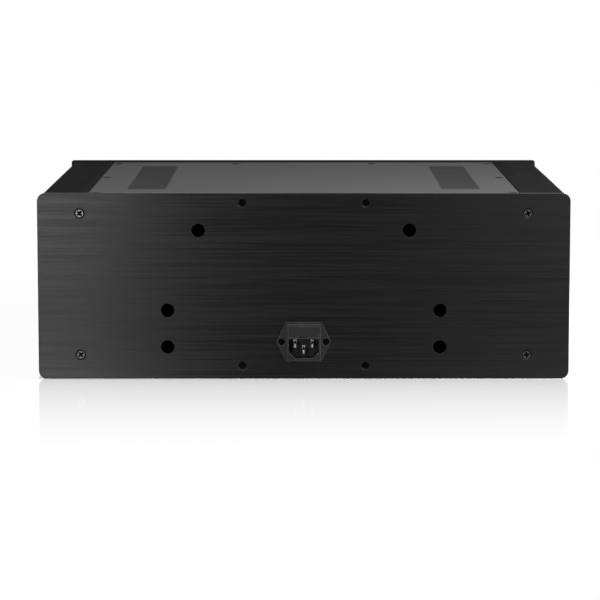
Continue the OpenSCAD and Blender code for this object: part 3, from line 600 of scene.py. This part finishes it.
low, high = cad_box
table_top = bpy.data.materials.new("white_gloss_top")
table_top.use_nodes = True
tree = table_top.node_tree
tree.nodes.clear()
split = tree.nodes.new("ShaderNodeSeparateXYZ")
tree.links.new(tree.nodes.new("ShaderNodeTexCoord").outputs["Object"], split.inputs["Vector"])
beside = sums(tree, "MAXIMUM", sums(tree, "SUBTRACT", sums(tree, "ABSOLUTE", split.outputs["X"], 0.0),
                                    high.x), 0.0)
behind = sums(tree, "MAXIMUM", sums(tree, "SUBTRACT", sums(tree, "ABSOLUTE", split.outputs["Y"], 0.0),
                                    high.y), 0.0)
away = sums(tree, "SQRT", sums(tree, "ADD", sums(tree, "MULTIPLY", beside, beside),
                               sums(tree, "MULTIPLY", behind, behind)), 0.0)
reach = 0.3
ramp = tree.nodes.new("ShaderNodeValToRGB")
tree.links.new(sums(tree, "DIVIDE", away, reach), ramp.inputs["Fac"])
fade = ((0.0, 0.37), (0.03, 0.345), (0.12, 0.27), (0.28, 0.205), (0.44, 0.14), (0.60, 0.09), (0.78, 0.045),
        (1.0, 0.0))
stops = ramp.color_ramp.elements
while len(stops) < len(fade):
    stops.new(0.5)
for stop, (position, share) in zip(stops, fade):
    stop.position = position
for stop, (position, share) in zip(stops, fade):
    stop.color = (share, share, share, 1.0)
glow = tree.nodes.new("ShaderNodeEmission")
glow.inputs["Color"].default_value = (1, 1, 1, 1)
glow.inputs["Strength"].default_value = 1.0
paint = tree.nodes.new("ShaderNodeBsdfDiffuse")
paint.inputs["Color"].default_value = (0.32, 0.32, 0.32, 1)
sheen = tree.nodes.new("ShaderNodeBsdfGlossy")
sheen.inputs["Color"].default_value = (1, 1, 1, 1)
sheen.inputs["Roughness"].default_value = 0.08
shadow = sums(tree, "MAXIMUM", spread(tree, away, 0.06, 0.0, 0.0, 0.35),
              sums(tree, "LESS_THAN", away, 0.0005))
seen = any_ray(tree, "Is Camera Ray", "Is Glossy Ray", "Is Transmission Ray")
lit = mixed(tree, sums(tree, "SUBTRACT", seen, sums(tree, "MULTIPLY", seen, shadow)),
            paint.outputs["BSDF"], glow.outputs["Emission"])
out = tree.nodes.new("ShaderNodeOutputMaterial")
tree.links.new(mixed(tree, ramp.outputs["Color"], lit, sheen.outputs["BSDF"]), out.inputs["Surface"])
floor.data.materials.append(table_top)

world = bpy.data.worlds.new("studio")
bpy.context.scene.world = world
world.use_nodes = True
tree = world.node_tree
tree.nodes.clear()
walls = {}
for name, strength in (("dim", 0.35), ("bright", 1.0)):
    walls[name] = tree.nodes.new("ShaderNodeBackground")
    walls[name].inputs["Color"].default_value = (1, 1, 1, 1)
    walls[name].inputs["Strength"].default_value = strength
out = tree.nodes.new("ShaderNodeOutputWorld")
tree.links.new(mixed(tree, any_ray(tree, "Is Camera Ray", "Is Glossy Ray", "Is Transmission Ray"),
                     walls["dim"].outputs["Background"], walls["bright"].outputs["Background"]),
               out.inputs["Surface"])


# Lights and camera
# A tall diffuser beside the camera lays the broad highlight on one end of the rear panel and a weak one
# lifts the other end. One above lights the covers, and three more light the front and the sides.

def diffuser(name, place, target, wide, high, power):
    """A large soft lamp that looks at a point."""
    lamp = bpy.data.lights.new(name, "AREA")
    lamp.shape = "RECTANGLE"
    lamp.size = wide
    lamp.size_y = high
    lamp.energy = power
    holder = bpy.data.objects.new(name, lamp)
    holder.location = place
    holder.rotation_euler = (Vector(target) - Vector(place)).to_track_quat("-Z", "Y").to_euler()
    holder.visible_camera = False
    bpy.context.scene.collection.objects.link(holder)


rear_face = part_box("rear_panel")[1].y
diffuser("side_lamp", (0.36, 1.5, 0.42), (0.18, 0.17, 0.08), 0.22, 0.8, 28)
diffuser("far_side_lamp", (-0.41, 1.5, 0.42), (-0.17, 0.17, 0.08), 0.5, 0.7, 8)
diffuser("high_lamp", (-0.5, 0.58, 0.62), (0.0, 0.05, 0.15), 0.4, 0.4, 28)
diffuser("front_lamp", (-0.36, -1.7, 0.075), (-0.18, -0.17, 0.08), 0.4, 0.13, 14)
diffuser("left_lamp", (-2.1, 0.2, 0.8), (-0.2, 0.0, 0.08), 0.8, 0.8, 28)
diffuser("right_lamp", (2.1, 0.2, 0.8), (0.2, 0.0, 0.08), 0.8, 0.8, 28)

camera = bpy.data.objects.new("camera", bpy.data.cameras.new("camera"))
camera.data.lens = 164.1
camera.data.sensor_width = 36.0
camera.location = (0.00302, rear_face + 2.1947, 0.3465)
camera.rotation_euler = (math.radians(82.675), 0.0, math.radians(180.0))
camera.data.clip_end = 50.0
bpy.context.scene.collection.objects.link(camera)
bpy.context.scene.camera = camera
bpy.context.scene.view_settings.view_transform = "Standard"
